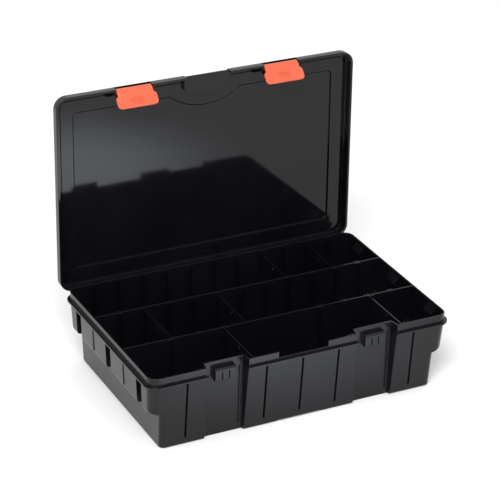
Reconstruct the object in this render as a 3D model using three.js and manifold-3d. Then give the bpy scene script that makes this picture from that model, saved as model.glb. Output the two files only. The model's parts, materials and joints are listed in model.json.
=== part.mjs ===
// A compartment case for small parts: a moulded tray with two fixed partitions, six lift-out
// dividers, and a hinged lid with two swinging latches. Millimetres, +Z up, X along the front.
// The origin is the centre of the tray's underside. The lid is drawn open, on its hinge stop.
import * as THREE from "three";
import { mergeVertices } from "three/addons/utils/BufferGeometryUtils.js";
import Module from "manifold-3d";

const wasm = await Module();
wasm.setup();

// ---- Tray ----
const lipLength = 350; // outside of the lip that the lid closes over
const lipDepth = 220;
const trayHeight = 87.6; // underside to the top of the lip
const lipHeight = 9; // lip above the rim flange
const wall = 1.8;
const floorThickness = 2;
const flangeReach = 3.3; // rim flange beyond the lip
const flangeThickness = 2;
const lipCorner = 11; // outside corner radius of the lip
const footEndInset = 14; // each end of the underside, in from the lip
const footFrontInset = 6; // its front and back edges, in from the lip
const footCorner = 6;
const footEdge = 2; // rounding where the walls meet the underside
const waistInset = 13; // each lower end wall at the step, in from the lip
const stepHeight = 42.4; // underside to the step of each end
const shoulderInset = 1.6; // each end overhang at the step, in from the lip
const overhangEdge = 4; // rounding under each overhang
const footNotchWidth = 54; // shallow lift notch under the front and back
const footNotchHeight = 2;
const footNotchDepth = 9;

// ---- Outside details of the tray ----
const grooveWidth = 2.2;
const grooveDepth = 4; // the wall steps in behind each groove
const grooveFoot = 8.5; // height at which the grooves end
const grooveOffsets = [-133, -42.3, 0, 42.3, 133]; // from the middle of the front
const endSlotWidth = 12.5; // three slots up the face of each end overhang
const endSlotSpacing = 79.5;
const endSlotDepth = 5; // slot behind the overhang's face at the step
const endSlotSlope = 50; // degrees that the wall over each slot falls inwards
const endRibWidth = 1.2;
const endRibHeight = 0.7;
const fingerCutWidth = 58; // lip lowered under the lid's finger pocket
const fingerLipHeight = 2.4; // lip left there, above the flange

// ---- Partitions, slots and dividers ----
const partitionSpacing = 74.6; // between the two fixed partitions
const partitionThickness = 1.6;
const slotPitch = 29; // divider positions in the middle and back rows
const slotCount = 11;
const frontSlotOffset = 31.5; // divider positions in the front row, each side of a latch
const dividerThickness = 1.5;
const slotClearance = 0.5; // each side of a divider
const slotRibWidth = 1.4;
const slotRibReach = 3; // rib out of its wall
const dividerEndGap = 0.5; // divider to the wall behind its slot
const dividerFloorGap = 0.3;
const dividerTopDrop = 2; // divider below the lip
const dividerCorner = 3.6; // lower corners, clear of the floor's rounding
const markRadius = 2; // round moulding mark on each divider
const markHeight = 0.7;
const markDrop = 6;

// ---- Latch recesses and catches in the tray's front ----
const latchSpacing = 176;
const recessWidth = 48.8; // at the front of the recess
const recessBackWidth = 43.6;
const recessDepth = 10.4; // behind the lip's front
const recessFlange = 2.5; // flange into each side of a recess
const recessGrooveDepth = 1.4;
const recessGrooveInset = 4; // groove beside the right-hand wall of each recess
const catchWidth = 24;
const catchReach = 6.6; // catch in front of the recess's back
const catchRise = 2.4; // catch above the flange
const catchDrop = 12; // catch below the flange's top
const catchGrooveWidth = 1.2;
const catchGrooveDepth = 2.2;

// ---- Lid ----
const lidSeat = 0.3; // lid's rim above the flange
const lidLipClearance = 0.6; // lid's skirt to the lip
const lipTopClearance = 0.4; // lip to the inside of the lid's border
const lidThickness = 2.1;
const lidEdge = 3.4; // rounding of the lid's top edge
const channelWidth = 5.3; // gutter inside the skirt, where the lip enters
const channelDepth = 0.9;
const panelMargin = 22.2; // lid's edge to the raised panel
const panelRise = 1.7;
const panelCorner = 5;
const panelStep = 1.7; // panel's outline, outside beyond inside
const panelGrooveWidth = 1; // groove round the inside of the panel
const panelGrooveDepth = 0.8;
const biteWidth = 84; // arc that the panel leaves round the finger pocket
const biteDepth = 15;
const pocketWidth = 52; // finger pocket in the lid's front, inside its walls
const pocketLength = 22.4; // lid's front to the bottom of the pocket's arc
const pocketArcRise = 7.7;
const pocketRoof = 4.5; // flange to the underside of the pocket's floor
const pocketDraft = 3; // pocket's wall, foot beyond floor
const lidNotchClearance = 0.5; // each side of a latch's neck, in the skirt
const lugWidth = 2; // lid lugs that carry the latch pin
const lugDepth = 7;
const lugGap = 0.8; // lug above the flange

// ---- Lid hinge ----
const hingeBehindFlange = 2.7;
const hingeBelowRim = 3.8;
const openAngle = 91.2; // degrees from shut to the stop
const hingeSpacing = 210; // between the two hinges
const knuckleRadius = 3.2;
const knuckleLength = 10;
const knuckleGap = 0.4;
const knucklesPerHinge = 5; // odd ones on the tray, even ones on the lid
const hingePinRadius = 1.25;
const pinClearance = 0.12;
const hingeArmHeight = 7.6; // lid arm above the flange

// ---- Latches ----
const latchNeckWidth = 41; // upper part, between the lugs
const latchGripWidth = 46.8;
const latchThickness = 2.2;
const latchDrop = 21.4; // pivot to the free end
const latchNeckDrop = 5.6; // pivot to where the latch widens
const latchFlare = 4.1; // height over which it widens
const latchCorner = 4.8;
const latchPivotInset = 4; // lid's front face to the pin
const latchPivotHeight = 4.5; // flange to the pin
const barrelRadius = 3.1;
const latchPinRadius = 1.7;
const latchPinEndGap = 0.5; // pin short of the outside of each lug
const hookWidth = 22;
const hookReach = 7; // hook behind the latch plate
const hookThickness = 2.6;
const hookGap = 0.5; // hook under the catch
const latchRestAngle = 49.5; // degrees inward of shut, where it rests on the open lid
const gripArcs = 3;
const gripArcRadius = 4.2; // of the smallest
const gripArcPitch = 2.6;
const gripArcWidth = 1.1;
const gripArcHeight = 0.8;

// ---- Worked out from the sizes above ----
const rimHeight = trayHeight - lipHeight;
const halfLip = { x: lipLength / 2, y: lipDepth / 2 };
const halfFoot = { x: halfLip.x - footEndInset, y: halfLip.y - footFrontInset };
const halfWaist = halfLip.x - waistInset;
const halfShoulder = halfLip.x - shoulderInset;
const lidRoof = lipHeight + lipTopClearance; // flange to the inside of the lid's border
const lidNotchWidth = latchNeckWidth + 2 * lidNotchClearance;
const flangeEdge = { x: halfLip.x + flangeReach, y: halfLip.y + flangeReach };
const hinge = { y: flangeEdge.y + hingeBehindFlange, z: rimHeight - hingeBelowRim };
const pivot = { y: -(flangeEdge.y - latchPivotInset), z: rimHeight + latchPivotHeight };
const recessBack = halfLip.y - recessDepth;
const catchBottom = rimHeight - catchDrop;
const latchCentres = [-latchSpacing / 2, latchSpacing / 2];
const lean = Math.atan(footFrontInset / rimHeight); // of the front and back walls
const rowEdge = partitionSpacing / 2;
const slotWidth = dividerThickness + 2 * slotClearance;
const hingeCentres = [-hingeSpacing / 2, hingeSpacing / 2];
const cornerMeet = 0.02; // keeps the lower corners' outline off the plane of the walls
const far = 400; // longer than any cut

const blackPlastic = { color: 0x17181a, roughness: 0.28, metalness: 0 };
const orangePlastic = { color: 0xff6a45, roughness: 0.4, metalness: 0 };
const pinSteel = { color: 0xb8bcc0, roughness: 0.3, metalness: 1 };

// ---- Helpers ----

// A closed three.js geometry as a solid that can be joined and cut.
function solid(geometry) {
  geometry.deleteAttribute("normal");
  geometry.deleteAttribute("uv");
  const merged = mergeVertices(geometry, 1e-4);
  return new wasm.Manifold(
    new wasm.Mesh({
      numProp: 3,
      vertProperties: merged.attributes.position.array,
      triVerts: new Uint32Array(merged.index.array),
    }),
  );
}

function box([x0, x1], [y0, y1], [z0, z1]) {
  const geometry = new THREE.BoxGeometry(x1 - x0, y1 - y0, z1 - z0);
  geometry.translate((x0 + x1) / 2, (y0 + y1) / 2, (z0 + z1) / 2);
  return solid(geometry);
}

// A flat outline in XY, raised from z0 to z1.
function prism(shape, z0, z1, curveSegments = 12) {
  const geometry = new THREE.ExtrudeGeometry(shape, {
    depth: z1 - z0,
    bevelEnabled: false,
    curveSegments,
  });
  geometry.translate(0, 0, z0);
  return solid(geometry);
}

// An outline drawn as (y, z) and run along X from x0 to x1.
function sideProfile(shape, x0, x1, curveSegments = 8) {
  const geometry = new THREE.ExtrudeGeometry(shape, {
    depth: x1 - x0,
    bevelEnabled: false,
    curveSegments,
  });
  geometry.applyMatrix4(
    new THREE.Matrix4().makeBasis(
      new THREE.Vector3(0, 1, 0),
      new THREE.Vector3(0, 0, 1),
      new THREE.Vector3(1, 0, 0),
    ),
  );
  geometry.translate(x0, 0, 0);
  return solid(geometry);
}

function polygon(points) {
  return new THREE.Shape(points.map(([x, y]) => new THREE.Vector2(x, y)));
}

function roundedRectangle(halfX, halfY, radius) {
  const shape = new THREE.Shape();
  shape.moveTo(-halfX + radius, -halfY);
  shape.lineTo(halfX - radius, -halfY);
  shape.absarc(halfX - radius, -halfY + radius, radius, -Math.PI / 2, 0);
  shape.lineTo(halfX, halfY - radius);
  shape.absarc(halfX - radius, halfY - radius, radius, 0, Math.PI / 2);
  shape.lineTo(-halfX + radius, halfY);
  shape.absarc(-halfX + radius, halfY - radius, radius, Math.PI / 2, Math.PI);
  shape.lineTo(-halfX, -halfY + radius);
  shape.absarc(-halfX + radius, -halfY + radius, radius, Math.PI, 1.5 * Math.PI);
  return shape;
}

// A solid through a stack of rounded rectangles, each {z, x, y, r}: height, half sizes, corner.
function loft(sections, curveSegments = 6) {
  const r = 0.5;
  const geometry = new THREE.ExtrudeGeometry(roundedRectangle(1, 1, r), {
    depth: sections.length - 1,
    steps: sections.length - 1,
    bevelEnabled: false,
    curveSegments,
  });
  const place = geometry.attributes.position;
  const along = (value, half, radius) =>
    Math.sign(value) * (half - radius + ((Math.abs(value) - (1 - r)) / r) * radius);
  for (let i = 0; i < place.count; i++) {
    const s = sections[Math.round(place.getZ(i))];
    place.setXYZ(i, along(place.getX(i), s.x, s.r), along(place.getY(i), s.y, s.r), s.z);
  }
  return solid(geometry);
}

// The quarter-round steps of an edge of radius r: how far in, and how far along, at each.
function edgeSteps(r, count = 3) {
  return Array.from({ length: count + 1 }, (_, i) => {
    const a = (i / count) * (Math.PI / 2);
    return { inset: r * (1 - Math.sin(a)), along: r * (1 - Math.cos(a)) };
  });
}

function rod(radius, x0, x1, y, z, sides = 16) {
  const geometry = new THREE.CylinderGeometry(radius, radius, x1 - x0, sides);
  geometry.rotateZ(Math.PI / 2);
  geometry.translate((x0 + x1) / 2, y, z);
  return solid(geometry);
}

function join(pieces) {
  return pieces.reduce((all, piece) => all.add(piece));
}

function cut(body, pieces) {
  return pieces.reduce((left, piece) => left.subtract(piece), body);
}

function part(name, shape, finish) {
  const made = shape.getMesh();
  const geometry = new THREE.BufferGeometry();
  geometry.setAttribute("position", new THREE.BufferAttribute(made.vertProperties, 3));
  geometry.setIndex(new THREE.BufferAttribute(made.triVerts, 1));
  geometry.computeVertexNormals();
  const mesh = new THREE.Mesh(geometry, new THREE.MeshStandardMaterial(finish));
  mesh.name = name;
  return mesh;
}

// ---- Tray ----

// Half the tray's depth at height z: the front and back lean out up to the rim.
function halfDepthAt(z) {
  return halfFoot.y + Math.tan(lean) * Math.min(z, rimHeight);
}

// The tray's outside shape moved in by `inset`, with its floor and ledges that much higher:
// walls as long as the overhangs, less the space under each end.
function trayBody(inset, floor, top) {
  const step = stepHeight + floor;
  const r = lipCorner - inset;
  const foot = edgeSteps(footEdge).map(({ inset: edge, along }) => ({
    z: floor + along,
    y: halfDepthAt(floor + along) - inset - edge,
    edge,
  }));
  const walls = loft([
    ...foot.map(({ z, y }) => ({ z, x: halfShoulder - overhangEdge - inset, y, r })),
    ...edgeSteps(overhangEdge).map(({ inset: edge, along }) => ({
      z: step + along,
      x: halfShoulder - inset - edge,
      y: halfDepthAt(step + along) - inset,
      r,
    })),
    { z: rimHeight, x: halfLip.x - inset, y: halfLip.y - inset, r },
    { z: top, x: halfLip.x - inset, y: halfLip.y - inset, r },
  ]);
  const ends = foot.map(({ z, y, edge }) => ({
    z,
    x: halfFoot.x - inset - edge,
    y: y + cornerMeet,
    r: footCorner - inset - edge / 2,
  }));
  const below = { ...ends[0], z: floor - footEdge };
  const above = {
    z: step + overhangEdge,
    x: halfWaist - inset,
    y: halfDepthAt(step + overhangEdge) - inset + cornerMeet,
    r: footCorner - inset,
  };
  const lower = loft([below, ...ends, above]);
  const start = halfFoot.x - footEdge - footCorner - inset;
  const spaces = [[-far, -start], [start, far]].map((xs) =>
    box(xs, [-far, far], [floor - footEdge / 2, step]).subtract(lower),
  );
  return cut(walls, spaces);
}

// The upright pocket in front of a latch, grown by `grow` on its sides and back.
function latchRecess(centre, grow) {
  const front = halfLip.y;
  const slope = (recessWidth - recessBackWidth) / 2 / recessDepth;
  const back = recessBack - grow;
  const halfAt = (y) => recessWidth / 2 + grow - slope * (front - y);
  const outline = polygon([
    [centre - halfAt(front + far / 10), -(front + far / 10)],
    [centre + halfAt(front + far / 10), -(front + far / 10)],
    [centre + halfAt(back), -back],
    [centre - halfAt(back), -back],
  ]);
  return prism(outline, -far, far);
}

// A slot up the face of an end overhang, grown by `grow`; side is -1 for the left end. Grown, its
// top slopes, so that the wall over the slot falls away into the tray.
function endSlot(side, y, grow) {
  const near = halfShoulder - endSlotDepth;
  const half = endSlotWidth / 2 + grow;
  const foot = stepHeight - overhangEdge / 2 - grow;
  const slope = grow > 0 ? THREE.MathUtils.degToRad(endSlotSlope) : 0;
  const top = rimHeight - flangeThickness + grow / Math.cos(slope);
  const outline = polygon([
    [near - grow, foot],
    [far, foot],
    [far, top + (far - near) * Math.tan(slope)],
    [near - grow, top - grow * Math.tan(slope)],
  ]);
  const slot = sideProfile(outline, -half, half);
  return slot.rotate([0, 0, side < 0 ? 90 : -90]).translate([0, y, 0]);
}

function endSlots(grow) {
  const places = [-1, 0, 1].map((n) => n * endSlotSpacing);
  return [-1, 1].flatMap((side) => places.map((y) => endSlot(side, y, grow)));
}

// The flange round the rim. It follows each recess and stops short of the hinges.
function rimFlange() {
  const r = lipCorner + flangeReach;
  const outline = roundedRectangle(flangeEdge.x, flangeEdge.y, r);
  const ring = prism(outline, rimHeight - flangeThickness, rimHeight, 6);
  const recesses = latchCentres.map((x) => latchRecess(x, -recessFlange));
  const half = hingeHalf() + knuckleGap;
  const reliefs = hingeCentres.map((x) =>
    box([x - half, x + half], [halfLip.y + knuckleGap, far], [0, far]),
  );
  return cut(ring, [...recesses, ...reliefs]);
}

// A groove down the leaning front wall, grown by `grow`.
function wallGroove(x, grow) {
  const length = (rimHeight - flangeThickness - grooveFoot) / Math.cos(lean) + 2 * grow;
  const width = grooveWidth + 2 * grow;
  const geometry = new THREE.BoxGeometry(width, 2 * (grooveDepth + grow), length);
  geometry.translate(0, 0, length / 2 - grow);
  geometry.rotateX(lean);
  geometry.translate(x, -halfDepthAt(grooveFoot), grooveFoot);
  return solid(geometry);
}

// The groove beside the right-hand wall of a recess, grown by `grow`.
function recessGroove(centre, grow) {
  const x = centre + recessBackWidth / 2 - recessGrooveInset;
  const half = grooveWidth / 2 + grow;
  const deep = recessGrooveDepth + grow;
  return box(
    [x - half, x + half],
    [-recessBack - deep, -recessBack + deep],
    [grooveFoot - grow, rimHeight - flangeThickness + grow],
  );
}

function frontGrooves(grow) {
  return [
    ...grooveOffsets.map((x) => wallGroove(x, grow)),
    ...latchCentres.map((x) => recessGroove(x, grow)),
  ];
}

// A thin upright rib on each end overhang, between its slots.
function endRibs() {
  const half = endRibWidth / 2;
  const foot = stepHeight + overhangEdge;
  const top = rimHeight - flangeThickness;
  const inside = wall / 2;
  const profile = polygon([
    [halfShoulderAt(foot) - inside, foot],
    [halfShoulderAt(foot) + endRibHeight, foot],
    [halfShoulderAt(top) + endRibHeight, top + flangeThickness / 2],
    [halfShoulderAt(top) - inside, top + flangeThickness / 2],
  ]);
  return [-1, 1].flatMap((side) =>
    [-endSlotSpacing / 2, endSlotSpacing / 2].map((y) => {
      const rib = sideProfile(profile, -half, half);
      return rib.rotate([0, 0, side < 0 ? 90 : -90]).translate([0, y, 0]);
    }),
  );
}

function halfShoulderAt(z) {
  const share = (z - stepHeight) / (rimHeight - stepHeight);
  return halfShoulder + share * shoulderInset;
}

// A pair of upright ribs that guide a divider, on a wall whose face is at y0 at the floor.
// `out` is the way the ribs stand, and `tilt` the wall's lean outwards.
function slotRibs(x, y0, out, tilt) {
  const top = trayHeight;
  const back = y0 - out * (wall / 2);
  const face = y0 + out * slotRibReach;
  const drift = -out * Math.tan(tilt) * (rimHeight - floorThickness);
  const profile = polygon([
    [back, floorThickness / 2],
    [face, floorThickness / 2],
    [face + drift, top],
    [back + drift, top],
  ]);
  return [-1, 1].map((side) => {
    const inner = (side * slotWidth) / 2;
    const outer = inner + side * slotRibWidth;
    return sideProfile(profile, x + Math.min(inner, outer), x + Math.max(inner, outer));
  });
}

const rowSlots = Array.from({ length: slotCount }, (_, i) => (i - (slotCount - 1) / 2) * slotPitch);
const frontSlots = latchCentres.flatMap((x) => [x - frontSlotOffset, x + frontSlotOffset]);
const partitionFace = partitionThickness / 2;
const wallFace = halfDepthAt(floorThickness) - wall; // inside of the front wall, at the floor

function allSlotRibs() {
  const sets = [
    { places: frontSlots, y: -wallFace, out: 1, tilt: lean },
    { places: frontSlots, y: -rowEdge - partitionFace, out: -1, tilt: 0 },
    { places: rowSlots, y: -rowEdge + partitionFace, out: 1, tilt: 0 },
    { places: rowSlots, y: rowEdge - partitionFace, out: -1, tilt: 0 },
    { places: rowSlots, y: rowEdge + partitionFace, out: 1, tilt: 0 },
    { places: rowSlots, y: wallFace, out: -1, tilt: lean },
  ];
  return sets.flatMap(({ places, y, out, tilt }) =>
    places.flatMap((x) => slotRibs(x, y, out, tilt)),
  );
}

function partitions() {
  return [-rowEdge, rowEdge].map((y) =>
    box(
      [-halfLip.x, halfLip.x],
      [y - partitionFace, y + partitionFace],
      [floorThickness / 2, trayHeight],
    ),
  );
}

// The ledge that a latch hooks under: a block with a rounded top and two grooves.
function latchCatch(centre) {
  const back = -recessBack + wall / 2;
  const front = -recessBack - catchReach;
  const top = rimHeight + catchRise;
  const shape = new THREE.Shape();
  shape.moveTo(back, catchBottom);
  shape.lineTo(front + 1, catchBottom);
  shape.lineTo(front, catchBottom + 1);
  shape.lineTo(front, rimHeight - flangeThickness);
  shape.absarc(front + catchRise, rimHeight, catchRise, Math.PI, Math.PI / 2, true);
  shape.lineTo(back, top);
  const block = sideProfile(shape, centre - catchWidth / 2, centre + catchWidth / 2, 4);
  const grooves = [-1, 1].map((side) => {
    const x = centre + (side * catchWidth) / 6;
    const half = catchGrooveWidth / 2;
    return box(
      [x - half, x + half],
      [front - 1, front + catchGrooveDepth],
      [catchBottom - 1, rimHeight - flangeThickness],
    );
  });
  return cut(block, grooves);
}

function hingeHalf() {
  return (knucklesPerHinge * knuckleLength + (knucklesPerHinge - 1) * knuckleGap) / 2;
}

// Where the knuckles of one hinge lie along X: those of the tray, or those of the lid.
function knuckles(centre, ofTray) {
  const pitch = knuckleLength + knuckleGap;
  return Array.from({ length: knucklesPerHinge }, (_, i) => i)
    .filter((i) => (i % 2 === 0) === ofTray)
    .map((i) => centre - hingeHalf() + i * pitch)
    .map((x) => [x, x + knuckleLength]);
}

function pinHole(radius, centre, half, { y, z }) {
  return rod(radius + pinClearance, centre - half, centre + half, y, z);
}

function trayKnuckle([x0, x1]) {
  const barrel = rod(knuckleRadius, x0, x1, hinge.y, hinge.z, 20);
  const bracket = polygon([
    [halfDepthAt(hinge.z - 12) - wall / 2, hinge.z - 12],
    [hinge.y + knuckleRadius * 0.7, hinge.z - knuckleRadius * 0.7],
    [hinge.y, hinge.z + knuckleRadius],
    [halfDepthAt(hinge.z) - wall / 2, hinge.z + knuckleRadius],
  ]);
  return barrel.add(sideProfile(bracket, x0, x1));
}

// The lift notches, grown by `grow` on their sides and top.
function footNotches(grow) {
  const half = footNotchWidth / 2 + grow;
  return [-1, 1].map((side) => {
    const inner = halfFoot.y - footNotchDepth - grow;
    const ys = side < 0 ? [-far, -inner] : [inner, far];
    return box([-half, half], ys, [-1, footNotchHeight + grow]);
  });
}

function trayCavity() {
  const inner = trayBody(wall, floorThickness, trayHeight + 1);
  return cut(inner, [
    ...latchCentres.map((x) => latchRecess(x, wall)),
    ...endSlots(wall),
    ...frontGrooves(wall),
    ...footNotches(floorThickness),
  ]);
}

function tray() {
  const outside = cut(trayBody(0, 0, trayHeight), [
    ...latchCentres.map((x) => latchRecess(x, 0)),
    ...endSlots(0),
  ]);
  const shell = outside.subtract(trayCavity());
  const inside = trayBody(wall / 2, floorThickness / 2, trayHeight);
  const fittings = join([...partitions(), ...allSlotRibs()]).intersect(
    cut(inside, [...latchCentres.map((x) => latchRecess(x, wall / 2)), ...endSlots(wall / 2)]),
  );
  const flange = rimFlange().subtract(trayBody(wall / 2, floorThickness, far));
  const outer = [
    flange,
    ...endRibs(),
    ...latchCentres.map(latchCatch),
    ...hingeCentres.flatMap((x) => knuckles(x, true).map(trayKnuckle)),
  ];
  const fingerCut = box(
    [-fingerCutWidth / 2, fingerCutWidth / 2],
    [-far, -halfLip.y + wall + 1],
    [rimHeight + fingerLipHeight, far],
  );
  const cuts = [
    fingerCut,
    ...footNotches(0),
    ...frontGrooves(0),
    ...hingeCentres.map((x) => pinHole(hingePinRadius, x, hingeHalf() + 1, hinge)),
  ];
  return cut(join([shell, fittings, ...outer]), cuts);
}

// ---- Dividers ----

// A plate across one row. `front` and `back` are the faces it stands between at the floor, and
// each `lean` says how far that face moves out per millimetre of height, up to the rim.
function divider(x, front, back) {
  const foot = floorThickness + dividerFloorGap;
  const top = trayHeight - dividerTopDrop;
  const climb = (z) => Math.min(z, rimHeight) - floorThickness;
  const yFront = (z) => front.y + dividerEndGap - front.lean * climb(z);
  const yBack = (z) => back.y - dividerEndGap + back.lean * climb(z);
  const outline = polygon([
    [yFront(foot) + dividerCorner, foot],
    [yBack(foot) - dividerCorner, foot],
    [yBack(foot + dividerCorner), foot + dividerCorner],
    [yBack(rimHeight), rimHeight],
    [yBack(top), top],
    [yFront(top), top],
    [yFront(rimHeight), rimHeight],
    [yFront(foot + dividerCorner), foot + dividerCorner],
  ]);
  const half = dividerThickness / 2;
  const mark = rod(markRadius, x - half - markHeight, x, (yFront(top) + yBack(top)) / 2, top - markDrop);
  return sideProfile(outline, x - half, x + half).add(mark);
}

const wallLean = Math.tan(lean);
const rows = {
  front: [{ y: -wallFace, lean: wallLean }, { y: -rowEdge - partitionFace, lean: 0 }],
  middle: [{ y: -rowEdge + partitionFace, lean: 0 }, { y: rowEdge - partitionFace, lean: 0 }],
  back: [{ y: rowEdge + partitionFace, lean: 0 }, { y: wallFace, lean: wallLean }],
};
const dividerPlaces = {
  divider_front_left: { row: rows.front, x: frontSlots[1] },
  divider_front_right: { row: rows.front, x: frontSlots[3] },
  divider_middle_left: { row: rows.middle, x: -4 * slotPitch },
  divider_middle_right: { row: rows.middle, x: -slotPitch },
  divider_back_left: { row: rows.back, x: 2 * slotPitch },
  divider_back_right: { row: rows.back, x: 4 * slotPitch },
};

// ---- Lid, drawn shut ----

function lidBody(inset, foot, top, edge) {
  const r = lipCorner + flangeReach - inset;
  const sections = [{ z: foot, x: flangeEdge.x - inset, y: flangeEdge.y - inset, r }];
  for (const { inset: turn, along } of edgeSteps(edge).reverse()) {
    const x = flangeEdge.x - inset - turn;
    const y = flangeEdge.y - inset - turn;
    sections.push({ z: top - along, x, y, r: r - turn });
  }
  return loft(sections);
}

// The panel's outline, with an arc bitten out of its front edge; `grow` moves it outwards.
function panelOutline(grow) {
  const x = flangeEdge.x - panelMargin + grow;
  const y = flangeEdge.y - panelMargin + grow;
  const r = panelCorner + grow;
  const half = biteWidth / 2 - grow;
  const depth = biteDepth;
  const radius = (half * half + depth * depth) / (2 * depth);
  const sweep = Math.asin(half / radius);
  const shape = new THREE.Shape();
  shape.moveTo(-x + r, -y);
  shape.lineTo(-half, -y);
  const start = Math.PI / 2 + sweep;
  shape.absarc(0, -y + depth - radius, radius, start, Math.PI / 2 - sweep, true);
  shape.lineTo(x - r, -y);
  shape.absarc(x - r, -y + r, r, -Math.PI / 2, 0);
  shape.lineTo(x, y - r);
  shape.absarc(x - r, y - r, r, 0, Math.PI / 2);
  shape.lineTo(-x + r, y);
  shape.absarc(-x + r, y - r, r, Math.PI / 2, Math.PI);
  shape.lineTo(-x, -y + r);
  shape.absarc(-x + r, -y + r, r, Math.PI, 1.5 * Math.PI);
  return shape;
}

// The finger pocket's outline: straight sides, then an arc; `grow` moves it outwards.
function pocketOutline(grow) {
  const half = pocketWidth / 2 + grow;
  const radius = ((pocketWidth / 2) ** 2 + pocketArcRise ** 2) / (2 * pocketArcRise) + grow;
  const centre = -flangeEdge.y + pocketLength + grow - radius;
  const sweep = Math.asin(half / radius);
  const shape = new THREE.Shape();
  shape.moveTo(-half, -flangeEdge.y - (grow < 1 ? 5 : 0));
  shape.lineTo(half, -flangeEdge.y - (grow < 1 ? 5 : 0));
  shape.absarc(0, centre, radius, Math.PI / 2 - sweep, Math.PI / 2 + sweep, false);
  return shape;
}

function lidLug(x0, x1) {
  const front = -flangeEdge.y + lidEdge;
  return box(
    [x0, x1],
    [front - lidEdge + 0.3, -flangeEdge.y + lugDepth],
    [rimHeight + lugGap, rimHeight + lidRoof + 0.5],
  );
}

function lidArm([x0, x1]) {
  const back = flangeEdge.y - 0.8;
  const top = rimHeight + hingeArmHeight;
  const outer = hinge.y + knuckleRadius;
  const arm = polygon([
    [back, rimHeight + lidSeat],
    [hinge.y - knuckleRadius, rimHeight + lidSeat],
    [hinge.y - knuckleRadius, hinge.z],
    [outer, hinge.z],
    [outer, rimHeight + lidSeat],
    [back, top],
  ]);
  return sideProfile(arm, x0, x1).add(rod(knuckleRadius, x0, x1, hinge.y, hinge.z, 20));
}

function lid() {
  const foot = rimHeight + lidSeat;
  const roof = rimHeight + lidRoof;
  const top = roof + lidThickness;
  const skirt = flangeReach - lidLipClearance;
  const shell = lidBody(0, foot, top, lidEdge);
  const panelOutside = prism(panelOutline(panelStep), top - 0.5, top + panelRise, 6);
  const pocketBlock = prism(pocketOutline(pocketDraft / 2), rimHeight + pocketRoof, top - 1, 10);
  const lugs = latchCentres.flatMap((x) => {
    const near = lidNotchWidth / 2;
    return [lidLug(x - near - lugWidth, x - near), lidLug(x + near, x + near + lugWidth)];
  });
  const hollow = lidBody(skirt, foot - 1, roof, 1);
  const channelInner = lidBody(skirt + channelWidth, foot - 2, top, 0.5);
  const channel = lidBody(skirt, foot - 1, roof + channelDepth, 0.5).subtract(channelInner);
  const panelInside = prism(panelOutline(0), foot, roof + panelRise, 6);
  const grooveTop = roof + panelRise + panelGrooveDepth;
  const panelGroove = prism(panelOutline(0), foot, grooveTop, 6).subtract(
    prism(panelOutline(-panelGrooveWidth), foot - 1, top + panelRise, 6),
  );
  const skirtCut = box(
    [-pocketWidth / 2, pocketWidth / 2],
    [-far, -flangeEdge.y + skirt + 1],
    [foot - 1, rimHeight + pocketRoof],
  );
  const pocketHollow = prism(pocketOutline(0), rimHeight + pocketRoof + wall, top + 5, 10);
  const notches = latchCentres.map((x) =>
    box(
      [x - lidNotchWidth / 2, x + lidNotchWidth / 2],
      [-far, -flangeEdge.y + skirt + 5],
      [foot - 1, roof],
    ),
  );
  const shellHollowed = cut(shell.add(panelOutside), [hollow, channel, panelInside, panelGroove, ...notches]);
  const fitted = join([
    shellHollowed,
    pocketBlock.intersect(shell),
    ...lugs.map((lug) => lug.intersect(shell)),
    ...hingeCentres.flatMap((x) => knuckles(x, false).map(lidArm)),
  ]);
  const latchHoles = latchCentres.map((x) =>
    pinHole(latchPinRadius, x, latchPinHalf() + latchPinEndGap / 2, pivot),
  );
  const barrelRooms = latchCentres.map((x) =>
    rod(barrelRadius + 0.8, x - lidNotchWidth / 2, x + lidNotchWidth / 2, pivot.y, pivot.z, 24),
  );
  return cut(fitted, [
    skirtCut,
    pocketHollow,
    ...latchHoles,
    ...barrelRooms,
    ...hingeCentres.map((x) => pinHole(hingePinRadius, x, hingeHalf() + 1, hinge)),
  ]);
}

// ---- Latches and pins ----

function latchPinHalf() {
  return lidNotchWidth / 2 + lugWidth - latchPinEndGap;
}

// The latch's front view: a neck between the lugs, then the wider grip with round corners.
function latchFront() {
  const neck = latchNeckWidth / 2;
  const grip = latchGripWidth / 2;
  const foot = -latchDrop;
  const wide = -latchNeckDrop - latchFlare;
  const shape = new THREE.Shape();
  shape.moveTo(-neck, barrelRadius + 1);
  shape.lineTo(-neck, -latchNeckDrop);
  shape.bezierCurveTo(-neck, wide + 1, -grip, -latchNeckDrop - 1, -grip, wide - 1);
  shape.lineTo(-grip, foot + latchCorner);
  shape.absarc(-grip + latchCorner, foot + latchCorner, latchCorner, Math.PI, 1.5 * Math.PI);
  shape.lineTo(grip - latchCorner, foot);
  shape.absarc(grip - latchCorner, foot + latchCorner, latchCorner, -Math.PI / 2, 0);
  shape.lineTo(grip, wide - 1);
  shape.bezierCurveTo(grip, -latchNeckDrop - 1, neck, wide + 1, neck, -latchNeckDrop);
  shape.lineTo(neck, barrelRadius + 1);
  return shape;
}

// The latch's plate from the side, (y, z) from the pivot: it wraps the barrel, then hangs straight.
function latchSide() {
  const outer = -latchPivotInset - 0.1;
  const inner = outer + latchThickness;
  const bend = -5;
  const shape = new THREE.Shape();
  shape.moveTo(0, barrelRadius);
  shape.bezierCurveTo(-2.6, barrelRadius, outer, bend + 5, outer, bend);
  shape.lineTo(outer - 0.2, -latchDrop + 0.8);
  shape.lineTo(outer + 0.5, -latchDrop);
  shape.lineTo(inner - 0.2, -latchDrop);
  shape.lineTo(inner, bend);
  shape.lineTo(0, 0);
  return shape;
}

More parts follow.
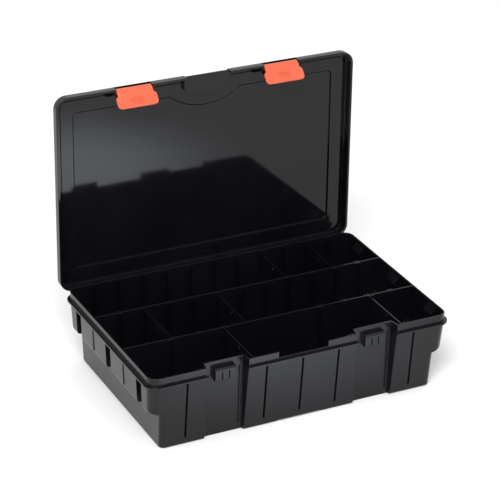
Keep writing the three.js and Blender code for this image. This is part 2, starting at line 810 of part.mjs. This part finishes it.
function latchHook() {
  const plate = -latchPivotInset + latchThickness / 2;
  const top = catchBottom - hookGap - pivot.z;
  const tip = -latchPivotInset + latchThickness + hookReach;
  const profile = polygon([
    [plate - 1, top - hookThickness],
    [plate + 1, top - hookThickness],
    [tip - 1, top - 1.2],
    [tip, top],
    [plate - 1, top],
  ]);
  return sideProfile(profile, -hookWidth / 2, hookWidth / 2);
}

// A raised arc on the grip, concentric with the others.
function gripArc(radius) {
  const spread = 0.95; // radians each side of upright
  const half = gripArcWidth / 2;
  const shape = new THREE.Shape();
  shape.absarc(0, 0, radius + half, Math.PI / 2 - spread, Math.PI / 2 + spread);
  shape.absarc(0, 0, radius - half, Math.PI / 2 + spread, Math.PI / 2 - spread, true);
  const outer = -latchPivotInset - 0.3;
  const arc = prism(shape, -0.35, gripArcHeight, 8);
  return arc.rotate([90, 0, 0]).translate([0, outer, -latchDrop + 2]);
}

function latch() {
  const half = latchGripWidth / 2;
  const plate = sideProfile(latchSide(), -half, half);
  const front = prism(latchFront(), -far / 10, far / 10, 6).rotate([90, 0, 0]);
  const neck = latchNeckWidth / 2;
  const barrel = rod(barrelRadius, -neck, neck, 0, 0, 20);
  const radii = Array.from({ length: gripArcs }, (_, i) => gripArcRadius + i * gripArcPitch);
  const arcs = radii.map(gripArc);
  const solidLatch = join([plate.intersect(front), barrel, latchHook(), ...arcs]);
  return solidLatch.subtract(rod(latchPinRadius + pinClearance, -half, half, 0, 0));
}

function hingePin(centre) {
  const half = hingeHalf() - knuckleGap;
  return rod(hingePinRadius, centre - half, centre + half, hinge.y, hinge.z);
}

// ---- The assembly ----

const group = new THREE.Group();
group.add(part("base_tray", tray(), blackPlastic));
for (const [name, { row, x }] of Object.entries(dividerPlaces)) {
  group.add(part(name, divider(x, row[0], row[1]), blackPlastic));
}

const sides = ["left", "right"];
hingeCentres.forEach((x, i) => {
  group.add(part(`hinge_pin_${sides[i]}`, hingePin(x), pinSteel));
});

// The lid turns about the hinge, and each latch about its pin.
const openLid = new THREE.Group();
openLid.position.set(0, hinge.y, hinge.z);
openLid.rotation.x = -THREE.MathUtils.degToRad(openAngle);
group.add(openLid);
openLid.add(part("lid", lid().translate([0, -hinge.y, -hinge.z]), blackPlastic));

latchCentres.forEach((x, i) => {
  const swing = new THREE.Group();
  swing.position.set(x, pivot.y - hinge.y, pivot.z - hinge.z);
  swing.rotation.x = THREE.MathUtils.degToRad(latchRestAngle);
  openLid.add(swing);
  const half = latchPinHalf();
  swing.add(part(`latch_pin_${sides[i]}`, rod(latchPinRadius, -half, half, 0, 0), pinSteel));
  swing.add(part(`latch_${sides[i]}`, latch(), orangePlastic));
});

export default group;
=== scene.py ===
"""The look of a compartment case for small parts: a glossy black tray, lid and dividers, with
two orange swing latches. Metres, in the CAD model's frame: X along the front, Y to the hinge, Z up.
"""

import json
import math

import bmesh
import bpy
from mathutils import Matrix, Vector

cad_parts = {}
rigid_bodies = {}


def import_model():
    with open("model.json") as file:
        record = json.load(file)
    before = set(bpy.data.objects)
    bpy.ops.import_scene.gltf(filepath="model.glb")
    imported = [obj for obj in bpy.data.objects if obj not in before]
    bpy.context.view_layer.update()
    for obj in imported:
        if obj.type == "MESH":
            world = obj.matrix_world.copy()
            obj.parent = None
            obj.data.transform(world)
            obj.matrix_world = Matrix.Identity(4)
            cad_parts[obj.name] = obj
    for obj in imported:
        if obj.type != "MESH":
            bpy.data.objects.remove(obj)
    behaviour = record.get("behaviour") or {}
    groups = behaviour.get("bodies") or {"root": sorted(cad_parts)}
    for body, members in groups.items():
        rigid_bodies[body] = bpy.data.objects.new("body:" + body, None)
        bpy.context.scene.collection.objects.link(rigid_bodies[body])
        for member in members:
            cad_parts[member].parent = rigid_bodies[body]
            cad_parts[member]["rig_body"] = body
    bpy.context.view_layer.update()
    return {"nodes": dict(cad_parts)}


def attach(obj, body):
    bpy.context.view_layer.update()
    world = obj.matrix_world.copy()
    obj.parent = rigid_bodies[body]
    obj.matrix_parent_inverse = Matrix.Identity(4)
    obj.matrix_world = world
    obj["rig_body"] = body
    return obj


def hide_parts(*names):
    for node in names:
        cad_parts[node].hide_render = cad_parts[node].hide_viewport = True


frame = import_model()

MM = 0.001

# ---- Camera ----
CAMERA_PLACE = Vector((-957.54, -1837.68, 1187.01)) * MM
CAMERA_TURN = math.radians(27.2866)  # to the right of straight ahead
CAMERA_DOWN = math.radians(26.477)
CAMERA_ROLL = math.radians(1.4866)
CAMERA_LENS = 156.52
CAMERA_SENSOR = 36
CAMERA_SHIFT_Y = -0.0099
CAMERA_REACH = 50  # metres

# ---- Stage ----
FLOOR_SIZE = 9.0
FLOOR_GAP = 0.15 * MM  # floor below the tray's underside
FLOOR_GREY = 0.86
WHITE = (1, 1, 1, 1)

# ---- Lights ----
KEY_PLACE = (-0.9, -1.3, 1.8)  # a softbox above the camera, a little to its left
KEY_TARGET = (0, -0.25, 0)
KEY_SIZE = 0.9
KEY_POWER = 40
POOL_PLACE = (-0.05, -0.62, 1.2)  # lights the floor in front, which the lid mirrors
POOL_TARGET = (0.03, -0.36, 0)
POOL_POWER = 190
POOL_SPREAD = math.radians(20)
POOL_SOURCE = 0.08  # radius of the lamp
POOL_COLOUR = (0.86, 0.95, 1.0)

# ---- Shapes ----
MERGE = 0.001 * MM  # corners this close are one corner
FLAT_ANGLE = math.radians(0.6)  # neighbouring faces that meet this flatly are one face
SHARP_ANGLE = math.radians(35)  # edges sharper than this are bevelled
TRAY_EDGE = 0.25 * MM  # width of the bevels
LID_EDGE = 0.3 * MM
DIVIDER_EDGE = 0.2 * MM
LATCH_GRID = 0.22 * MM  # voxel size
LATCH_ROUNDS = 2  # of smoothing

# ---- Surfaces ----
NOISE_LOW = 0.3  # most of a noise's values lie between these two
NOISE_HIGH = 0.7
BLACK_DARKER = (0.0030, 0.0030, 0.0042, 1)
BLACK_LIGHTER = (0.0046, 0.0046, 0.0062, 1)
BLACK_IOR = 1.36
ORANGE_DARKER = (0.60, 0.094, 0.044, 1)
ORANGE_LIGHTER = (0.64, 0.108, 0.052, 1)
ORANGE_IOR = 1.47
STEEL_DARKER = (0.5, 0.51, 0.53, 1)
STEEL_LIGHTER = (0.66, 0.67, 0.69, 1)
STEEL_IOR = 1.36


def add_camera():
    data = bpy.data.cameras.new("camera")
    data.lens = CAMERA_LENS
    data.sensor_width = CAMERA_SENSOR
    data.shift_y = CAMERA_SHIFT_Y
    data.clip_end = CAMERA_REACH
    camera = bpy.data.objects.new("camera", data)
    bpy.context.scene.collection.objects.link(camera)
    level = math.cos(CAMERA_DOWN)
    forward = Vector(
        (math.sin(CAMERA_TURN) * level, math.cos(CAMERA_TURN) * level, -math.sin(CAMERA_DOWN))
    )
    turn = forward.to_track_quat("-Z", "Y").to_matrix() @ Matrix.Rotation(CAMERA_ROLL, 3, "Z")
    camera.matrix_world = Matrix.Translation(CAMERA_PLACE) @ turn.to_4x4()
    bpy.context.scene.camera = camera


def add_floor():
    mesh = bpy.data.meshes.new("floor")
    half = FLOOR_SIZE / 2
    corners = [(-half, -half), (half, -half), (half, half), (-half, half)]
    mesh.from_pydata([(x, y, -FLOOR_GAP) for x, y in corners], [], [(0, 1, 2, 3)])
    floor = bpy.data.objects.new("floor", mesh)
    bpy.context.scene.collection.objects.link(floor)
    material = bpy.data.materials.new("floor_paper")
    material.use_nodes = True
    shader = material.node_tree.nodes["Principled BSDF"]
    shader.inputs["Base Color"].default_value = (FLOOR_GREY, FLOOR_GREY, FLOOR_GREY, 1)
    shader.inputs["Roughness"].default_value = 0.9
    shader.inputs["Specular IOR Level"].default_value = 0.1
    mesh.materials.append(material)


def add_light(data, place, target):
    light = bpy.data.objects.new(data.name, data)
    bpy.context.scene.collection.objects.link(light)
    light.location = place
    light.rotation_mode = "QUATERNION"
    light.rotation_quaternion = (Vector(target) - Vector(place)).to_track_quat("-Z", "Y")


def add_key():
    data = bpy.data.lights.new("key", "AREA")
    data.shape = "RECTANGLE"
    data.size = KEY_SIZE
    data.size_y = KEY_SIZE
    data.energy = KEY_POWER
    add_light(data, KEY_PLACE, KEY_TARGET)


def add_pool():
    """A soft-edged pool of light on the floor, seen in the glossy lid."""
    data = bpy.data.lights.new("pool", "SPOT")
    data.energy = POOL_POWER
    data.color = POOL_COLOUR
    data.spot_size = POOL_SPREAD
    data.spot_blend = 1.0
    data.shadow_soft_size = POOL_SOURCE
    add_light(data, POOL_PLACE, POOL_TARGET)


def add_world():
    world = bpy.data.worlds.new("studio")
    world.use_nodes = True
    background = world.node_tree.nodes["Background"]
    background.inputs["Color"].default_value = WHITE
    background.inputs["Strength"].default_value = 1.0
    bpy.context.scene.world = world


# ---- Materials ----


class Recipe:
    """A node material being built: short calls to add nodes and link them."""

    def __init__(self, name):
        self.material = bpy.data.materials.new(name)
        self.material.use_nodes = True
        self.tree = self.material.node_tree
        self.shader = self.tree.nodes["Principled BSDF"]
        self.place = self.tree.nodes.new("ShaderNodeTexCoord").outputs["Object"]

    def add(self, kind, settings=None, **inputs):
        node = self.tree.nodes.new(kind)
        for key, value in (settings or {}).items():
            setattr(node, key, value)
        for key, value in inputs.items():
            self.feed(node.inputs[key.replace("_", " ")], value)
        return node

    def feed(self, socket, value):
        if isinstance(value, bpy.types.NodeSocket):
            self.tree.links.new(value, socket)
        else:
            socket.default_value = value

    def noise(self, scale, detail=2.0, roughness=0.5):
        node = self.add(
            "ShaderNodeTexNoise", Vector=self.place, Scale=scale, Detail=detail, Roughness=roughness
        )
        return node.outputs["Fac"]

    def spread(self, noise, low, high):
        """A noise's values, stretched to run from `low` to `high`."""
        node = self.add("ShaderNodeMapRange", Value=noise)
        ends = {"From Min": NOISE_LOW, "From Max": NOISE_HIGH, "To Min": low, "To Max": high}
        for key, number in ends.items():
            node.inputs[key].default_value = number
        return node.outputs["Result"]

    def bump(self, height, depth, normal=None):
        node = self.add("ShaderNodeBump", Height=height, Distance=depth, Strength=1.0)
        if normal is not None:
            self.feed(node.inputs["Normal"], normal)
        return node.outputs["Normal"]

    def mix(self, share, darker, lighter):
        node = self.add("ShaderNodeMix", {"data_type": "RGBA"})
        self.feed(node.inputs["Factor"], share)
        self.feed(node.inputs["A"], darker)
        self.feed(node.inputs["B"], lighter)
        return node.outputs["Result"]

    def finish(self, colour, roughness, normal, ior):
        self.feed(self.shader.inputs["Base Color"], colour)
        self.feed(self.shader.inputs["Roughness"], roughness)
        self.feed(self.shader.inputs["Normal"], normal)
        self.shader.inputs["IOR"].default_value = ior
        return self.material


def black_plastic(name, roughness, grain, wave):
    """Moulded black polypropylene: nearly black, with slow waves from the mould and a fine grain."""
    made = Recipe(name)
    tone = made.noise(scale=14, detail=3)
    colour = made.mix(made.spread(tone, 0, 1), BLACK_DARKER, BLACK_LIGHTER)
    dust = made.noise(scale=900, detail=1)
    handling = made.noise(scale=38, detail=4, roughness=0.6)
    sheen = made.spread(handling, roughness * 0.85, roughness * 1.2)
    waves = made.bump(made.noise(scale=9, detail=1), wave)
    normal = made.bump(dust, grain, normal=waves)
    return made.finish(colour, sheen, normal, BLACK_IOR)


def orange_plastic():
    made = Recipe("orange_moulding")
    tone = made.noise(scale=60, detail=3)
    colour = made.mix(made.spread(tone, 0, 1), ORANGE_DARKER, ORANGE_LIGHTER)
    handling = made.noise(scale=220, detail=3, roughness=0.6)
    sheen = made.spread(handling, 0.22, 0.30)
    normal = made.bump(made.noise(scale=1500, detail=1), 0.01 * MM)
    made.shader.inputs["Subsurface Weight"].default_value = 0.12
    made.shader.inputs["Subsurface Radius"].default_value = (4 * MM, 1.2 * MM, 0.5 * MM)
    made.shader.inputs["Subsurface Scale"].default_value = 1.0
    return made.finish(colour, sheen, normal, ORANGE_IOR)


def drawn_steel():
    made = Recipe("drawn_steel")
    made.shader.inputs["Metallic"].default_value = 1.0
    tone = made.noise(scale=240, detail=4)
    colour = made.mix(tone, STEEL_DARKER, STEEL_LIGHTER)
    sheen = made.spread(tone, 0.18, 0.34)
    normal = made.bump(made.noise(scale=2500), 0.004 * MM)
    return made.finish(colour, sheen, normal, STEEL_IOR)


# ---- Pieces ----


def shown(node, material):
    """A copy of a CAD node's shape with its facets merged, riding on its body in its place."""
    source = frame["nodes"][node]
    mesh = bpy.data.meshes.new("shape_" + node)
    work = bmesh.new()
    work.from_mesh(source.data)
    bmesh.ops.remove_doubles(work, verts=work.verts, dist=MERGE)
    bmesh.ops.dissolve_limit(work, angle_limit=FLAT_ANGLE, verts=work.verts, edges=work.edges)
    bmesh.ops.recalc_face_normals(work, faces=work.faces)
    for face in work.faces:
        face.smooth = True
    work.to_mesh(mesh)
    work.free()
    mesh.materials.append(material)
    mesh.set_sharp_from_angle(angle=SHARP_ANGLE)
    piece = bpy.data.objects.new("shown_" + node, mesh)
    bpy.context.scene.collection.objects.link(piece)
    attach(piece, source["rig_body"])
    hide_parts(node)
    return piece


def eased(piece, width):
    """Rounds a piece's sharp edges and keeps its flat faces flat."""
    bevel = piece.modifiers.new("edges", "BEVEL")
    bevel.width = width
    bevel.segments = 2
    bevel.limit_method = "ANGLE"
    bevel.angle_limit = SHARP_ANGLE
    bevel.use_clamp_overlap = False
    even = piece.modifiers.new("even", "WEIGHTED_NORMAL")
    even.mode = "FACE_AREA"
    even.weight = 100
    even.keep_sharp = True


def softened(piece, grid, rounds):
    """Rounds a small moulding all over."""
    remesh = piece.modifiers.new("skin", "REMESH")
    remesh.mode = "VOXEL"
    remesh.voxel_size = grid
    remesh.use_smooth_shade = True
    smooth = piece.modifiers.new("soften", "SMOOTH")
    smooth.factor = 0.5
    smooth.iterations = rounds


def painted(node, material):
    """A CAD node shown as it is, in a material of its own."""
    slots = frame["nodes"][node].data.materials
    slots.clear()
    slots.append(material)


add_camera()
add_world()
add_floor()
add_key()
add_pool()
bpy.context.scene.view_settings.view_transform = "Standard"

wall_plastic = black_plastic("satin_black", roughness=0.22, grain=0.004 * MM, wave=0.05 * MM)
lid_plastic = black_plastic("glossy_black", roughness=0.06, grain=0.001 * MM, wave=0.03 * MM)
latch_plastic = orange_plastic()
steel = drawn_steel()

eased(shown("base_tray", wall_plastic), TRAY_EDGE)
eased(shown("lid", lid_plastic), LID_EDGE)
for name in frame["nodes"]:
    if name.startswith("divider"):
        eased(shown(name, wall_plastic), DIVIDER_EDGE)
for side in ("left", "right"):
    softened(shown("latch_" + side, latch_plastic), LATCH_GRID, LATCH_ROUNDS)
    painted("hinge_pin_" + side, steel)
    painted("latch_pin_" + side, steel)
